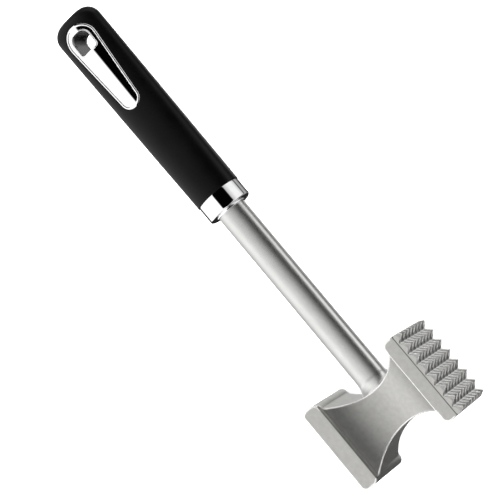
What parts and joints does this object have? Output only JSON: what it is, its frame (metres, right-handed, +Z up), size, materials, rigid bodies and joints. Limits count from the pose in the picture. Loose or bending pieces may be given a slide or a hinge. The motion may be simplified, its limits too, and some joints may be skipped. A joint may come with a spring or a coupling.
{
  "type": "meat mallet",
  "caption": "Hand mallet with a spool-shaped cast head, a toothed face and a flat face, a round stem, a bright collar and a soft black grip with a hanging hole.",
  "frame": {"origin": "under the stem's axis, half way along the mallet, in the plane that the side of the head lies on", "axes": "+X along the handle towards the head, +Y towards the toothed face, +Z up from the side that the head lies on"},
  "size_m": [0.3, 0.0696, 0.052],
  "materials": {
    "cast_head": "bead-blasted casting, satin",
    "stem_metal": "fine satin, turned",
    "pin_steel": "ground",
    "bright_collar": "polished chrome plate",
    "seal_rubber": "matt",
    "core_plastic": "moulded, glossy in the hanging hole",
    "grip_rubber": "soft-touch, matt with a dull sheen",
    "bright_plate": "polished chrome plate"
  },
  "bodies": {
    "root": {"hammer_head": "cast_head", "stem": "stem_metal", "tang_pins": "pin_steel", "collar": "bright_collar", "collar_seal": "seal_rubber", "handle_core": "core_plastic", "grip_sleeve": "grip_rubber", "hang_plate_front": "bright_plate", "hang_plate_back": "bright_plate"}
  },
  "joints": []
}
